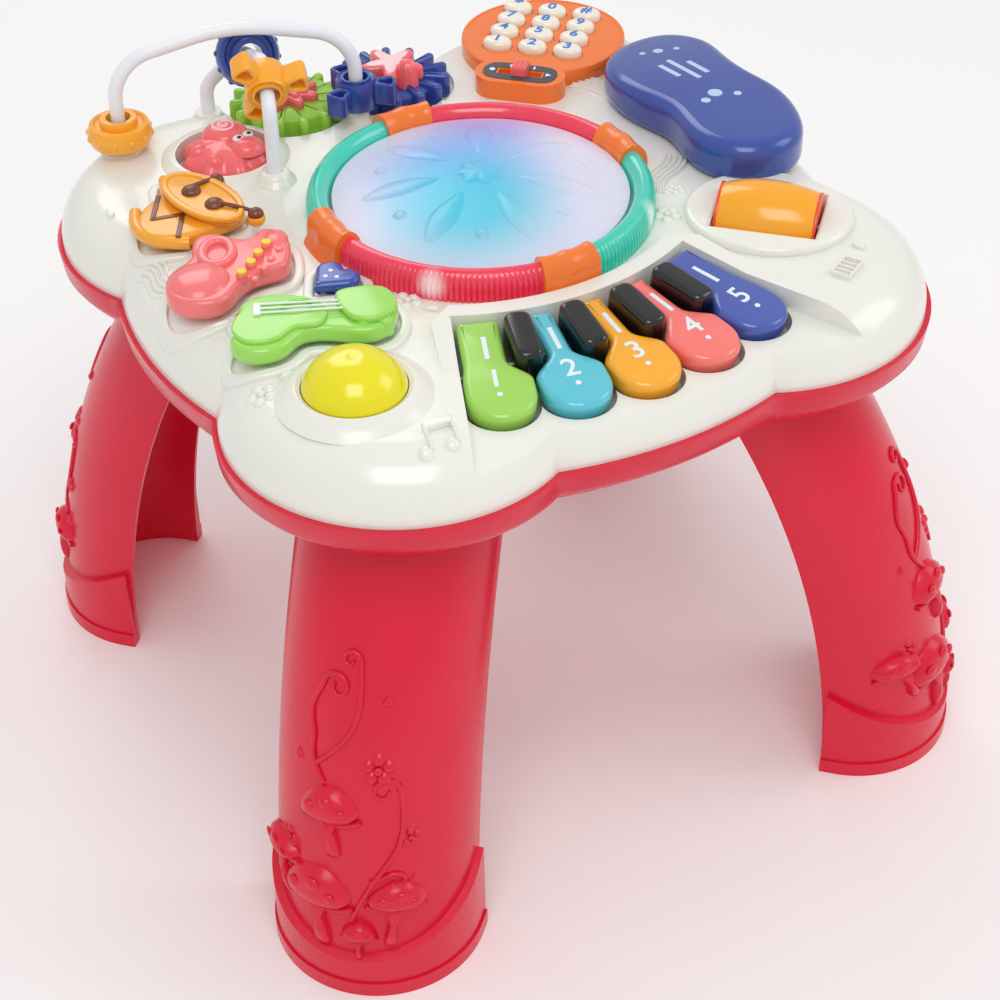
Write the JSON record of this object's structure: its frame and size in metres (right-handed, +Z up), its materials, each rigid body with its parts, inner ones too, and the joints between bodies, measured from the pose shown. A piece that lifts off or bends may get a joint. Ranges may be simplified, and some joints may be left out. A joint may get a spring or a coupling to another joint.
{
  "type": "musical activity table",
  "caption": "Low four-legged activity table with a lobed top that carries a round light-up drum pad, toy keyboard, telephone, gears, roller, push buttons and bead wires.",
  "frame": {"origin": "on the floor, under the middle of the table", "axes": "+Z up, +X to the right of a child at the keyboard, +Y away from the child"},
  "size_m": [0.3736, 0.3736, 0.335],
  "materials": {
    "ivory_shell": "satin gloss",
    "crimson_shell": "gloss",
    "red_clear": "clear gloss",
    "teal_clear": "clear gloss",
    "orange": "gloss",
    "milky_pad": "translucent satin",
    "green": "gloss",
    "cyan": "gloss",
    "yellow_orange": "gloss",
    "coral": "gloss",
    "blue": "gloss",
    "key_blue": "gloss",
    "black": "gloss",
    "amber": "gloss",
    "yellow": "gloss",
    "wire_white": "gloss",
    "cream": "satin",
    "steel": "brushed",
    "board": "matte",
    "battery_wrap": "satin",
    "speaker_black": "matte"
  },
  "bodies": {
    "root": {"top_shell": "ivory_shell", "bottom_shell": "crimson_shell", "leg_front_left": "crimson_shell", "leg_front_right": "crimson_shell", "leg_back_left": "crimson_shell", "leg_back_right": "crimson_shell", "ring_front_left": "red_clear", "ring_front_right": "teal_clear", "ring_back_left": "teal_clear", "ring_back_right": "red_clear", "ring_clips": "orange", "drum_light_board": "board", "key_pivot_rod": "steel", "black_keys": "black", "roller_axle": "steel", "keypad_housing": "orange", "switch_housing": "orange", "maze_wire_long": "wire_white", "maze_wire_cross": "wire_white", "circuit_board": "board", "speaker": "speaker_black", "battery_door": "crimson_shell", "batteries": "battery_wrap", "housing_screws": "steel"},
    "key_1": {"piano_key_1": "green"},
    "key_2": {"piano_key_2": "cyan"},
    "key_3": {"piano_key_3": "yellow_orange"},
    "key_4": {"piano_key_4": "coral"},
    "key_5": {"piano_key_5": "key_blue"},
    "drum": {"drum_pad": "milky_pad"},
    "dome": {"dome_button": "yellow"},
    "drum_figure": {"drum_button": "yellow_orange"},
    "saxophone_figure": {"saxophone_button": "coral"},
    "guitar_figure": {"guitar_button": "green"},
    "heart": {"heart_button": "blue"},
    "digit_1": {"keypad_button_1": "cream"},
    "digit_2": {"keypad_button_2": "cream"},
    "digit_3": {"keypad_button_3": "cream"},
    "digit_4": {"keypad_button_4": "cream"},
    "digit_5": {"keypad_button_5": "cream"},
    "digit_6": {"keypad_button_6": "cream"},
    "digit_7": {"keypad_button_7": "cream"},
    "digit_8": {"keypad_button_8": "cream"},
    "digit_9": {"keypad_button_9": "cream"},
    "digit_10": {"keypad_button_10": "cream"},
    "digit_11": {"keypad_button_11": "cream"},
    "digit_12": {"keypad_button_12": "cream"},
    "roller": {"roller": "amber"},
    "blue_gear": {"blue_gear": "blue", "star_crank": "coral"},
    "green_gear": {"green_gear": "green", "flower_cap": "coral"},
    "snail": {"snail_dial": "coral"},
    "switch": {"switch_slider": "coral"},
    "handset": {"handset_base": "blue", "handset_cover": "blue"},
    "orange_flower_bead": {"bead_flower_orange": "yellow_orange"},
    "blue_bow_bead": {"bead_bow_blue": "blue"},
    "orange_bow_bead": {"bead_bow_orange": "yellow_orange"},
    "blue_flower_bead": {"bead_flower_blue": "blue"}
  },
  "joints": [
    {"name": "key_1_press", "type": "hinge", "parent": "root", "child": "key_1", "pos_m": [-0.0532, -0.104, 0.263], "axis": [1, 0, 0], "range_deg": [0, 2.3], "stiffness_Nm_per_rad": 0.5, "springref_deg": -2.86},
    {"name": "key_2_press", "type": "hinge", "parent": "root", "child": "key_2", "pos_m": [-0.0257, -0.104, 0.263], "axis": [1, 0, 0], "range_deg": [0, 2.3], "stiffness_Nm_per_rad": 0.5, "springref_deg": -2.86},
    {"name": "key_3_press", "type": "hinge", "parent": "root", "child": "key_3", "pos_m": [0, -0.104, 0.263], "axis": [1, 0, 0], "range_deg": [0, 2.3], "stiffness_Nm_per_rad": 0.5, "springref_deg": -2.86},
    {"name": "key_4_press", "type": "hinge", "parent": "root", "child": "key_4", "pos_m": [0.0257, -0.104, 0.263], "axis": [1, 0, 0], "range_deg": [0, 2.3], "stiffness_Nm_per_rad": 0.5, "springref_deg": -2.86},
    {"name": "key_5_press", "type": "hinge", "parent": "root", "child": "key_5", "pos_m": [0.0532, -0.104, 0.263], "axis": [1, 0, 0], "range_deg": [0, 2.3], "stiffness_Nm_per_rad": 0.5, "springref_deg": -2.86},
    {"name": "drum_press", "type": "slide", "parent": "root", "child": "drum", "axis": [0, 0, -1], "range_m": [0, 0.0025], "stiffness_N_per_m": 800, "springref_m": -0.003},
    {"name": "dome_press", "type": "slide", "parent": "root", "child": "dome", "axis": [0, 0, -1], "range_m": [0, 0.002], "stiffness_N_per_m": 400, "springref_m": -0.0015},
    {"name": "drum_figure_press", "type": "slide", "parent": "root", "child": "drum_figure", "axis": [0, 0, -1], "range_m": [0, 0.002], "stiffness_N_per_m": 400, "springref_m": -0.0015},
    {"name": "saxophone_figure_press", "type": "slide", "parent": "root", "child": "saxophone_figure", "axis": [0, 0, -1], "range_m": [0, 0.002], "stiffness_N_per_m": 400, "springref_m": -0.0015},
    {"name": "guitar_figure_press", "type": "slide", "parent": "root", "child": "guitar_figure", "axis": [0, 0, -1], "range_m": [0, 0.002], "stiffness_N_per_m": 400, "springref_m": -0.0015},
    {"name": "heart_press", "type": "slide", "parent": "root", "child": "heart", "axis": [0, 0, -1], "range_m": [0, 0.002], "stiffness_N_per_m": 200, "springref_m": -0.0015},
    {"name": "digit_1_press", "type": "slide", "parent": "root", "child": "digit_1", "axis": [0, 0, -1], "range_m": [0, 0.0018], "stiffness_N_per_m": 150, "springref_m": -0.001},
    {"name": "digit_2_press", "type": "slide", "parent": "root", "child": "digit_2", "axis": [0, 0, -1], "range_m": [0, 0.0018], "stiffness_N_per_m": 150, "springref_m": -0.001},
    {"name": "digit_3_press", "type": "slide", "parent": "root", "child": "digit_3", "axis": [0, 0, -1], "range_m": [0, 0.0018], "stiffness_N_per_m": 150, "springref_m": -0.001},
    {"name": "digit_4_press", "type": "slide", "parent": "root", "child": "digit_4", "axis": [0, 0, -1], "range_m": [0, 0.0018], "stiffness_N_per_m": 150, "springref_m": -0.001},
    {"name": "digit_5_press", "type": "slide", "parent": "root", "child": "digit_5", "axis": [0, 0, -1], "range_m": [0, 0.0018], "stiffness_N_per_m": 150, "springref_m": -0.001},
    {"name": "digit_6_press", "type": "slide", "parent": "root", "child": "digit_6", "axis": [0, 0, -1], "range_m": [0, 0.0018], "stiffness_N_per_m": 150, "springref_m": -0.001},
    {"name": "digit_7_press", "type": "slide", "parent": "root", "child": "digit_7", "axis": [0, 0, -1], "range_m": [0, 0.0018], "stiffness_N_per_m": 150, "springref_m": -0.001},
    {"name": "digit_8_press", "type": "slide", "parent": "root", "child": "digit_8", "axis": [0, 0, -1], "range_m": [0, 0.0018], "stiffness_N_per_m": 150, "springref_m": -0.001},
    {"name": "digit_9_press", "type": "slide", "parent": "root", "child": "digit_9", "axis": [0, 0, -1], "range_m": [0, 0.0018], "stiffness_N_per_m": 150, "springref_m": -0.001},
    {"name": "digit_10_press", "type": "slide", "parent": "root", "child": "digit_10", "axis": [0, 0, -1], "range_m": [0, 0.0018], "stiffness_N_per_m": 150, "springref_m": -0.001},
    {"name": "digit_11_press", "type": "slide", "parent": "root", "child": "digit_11", "axis": [0, 0, -1], "range_m": [0, 0.0018], "stiffness_N_per_m": 150, "springref_m": -0.001},
    {"name": "digit_12_press", "type": "slide", "parent": "root", "child": "digit_12", "axis": [0, 0, -1], "range_m": [0, 0.0018], "stiffness_N_per_m": 150, "springref_m": -0.001},
    {"name": "roller_spin", "type": "hinge", "parent": "root", "child": "roller", "pos_m": [0.109, -0.075, 0.27], "axis": [0.7071, -0.7071, 0], "continuous": true},
    {"name": "blue_gear_spin", "type": "hinge", "parent": "root", "child": "blue_gear", "pos_m": [0.02, 0.127, 0.268], "axis": [0, 0, 1], "continuous": true},
    {"name": "green_gear_spin", "type": "hinge", "parent": "root", "child": "green_gear", "pos_m": [-0.034, 0.135, 0.268], "axis": [0, 0, 1], "continuous": true},
    {"name": "snail_spin", "type": "hinge", "parent": "root", "child": "snail", "pos_m": [-0.082, 0.105, 0.268], "axis": [0, 0, 1], "continuous": true},
    {"name": "switch_slide", "type": "slide", "parent": "root", "child": "switch", "axis": [0.7071, -0.7071, 0], "range_m": [-0.007, 0.007]},
    {"name": "handset_lift", "type": "slide", "parent": "root", "child": "handset", "axis": [0, 0, 1], "range_m": [0, 0.12]},
    {"name": "orange_flower_bead_slide", "type": "slide", "parent": "root", "child": "orange_flower_bead", "axis": [0, 0, 1], "range_m": [0, 0.008]},
    {"name": "blue_bow_bead_slide", "type": "slide", "parent": "root", "child": "blue_bow_bead", "axis": [0, 0, 1], "range_m": [0, 0.005]},
    {"name": "orange_bow_bead_slide", "type": "slide", "parent": "root", "child": "orange_bow_bead", "axis": [0.317, 0.8806, 0.3522], "range_m": [-0.002, 0.002]},
    {"name": "blue_flower_bead_slide", "type": "slide", "parent": "root", "child": "blue_flower_bead", "axis": [0.1784, 0.917, -0.3568], "range_m": [-0.002, 0.002]}
  ],
  "couplings": [
    {"joint": "green_gear_spin", "follows": "blue_gear_spin", "ratio": -1}
  ]
}
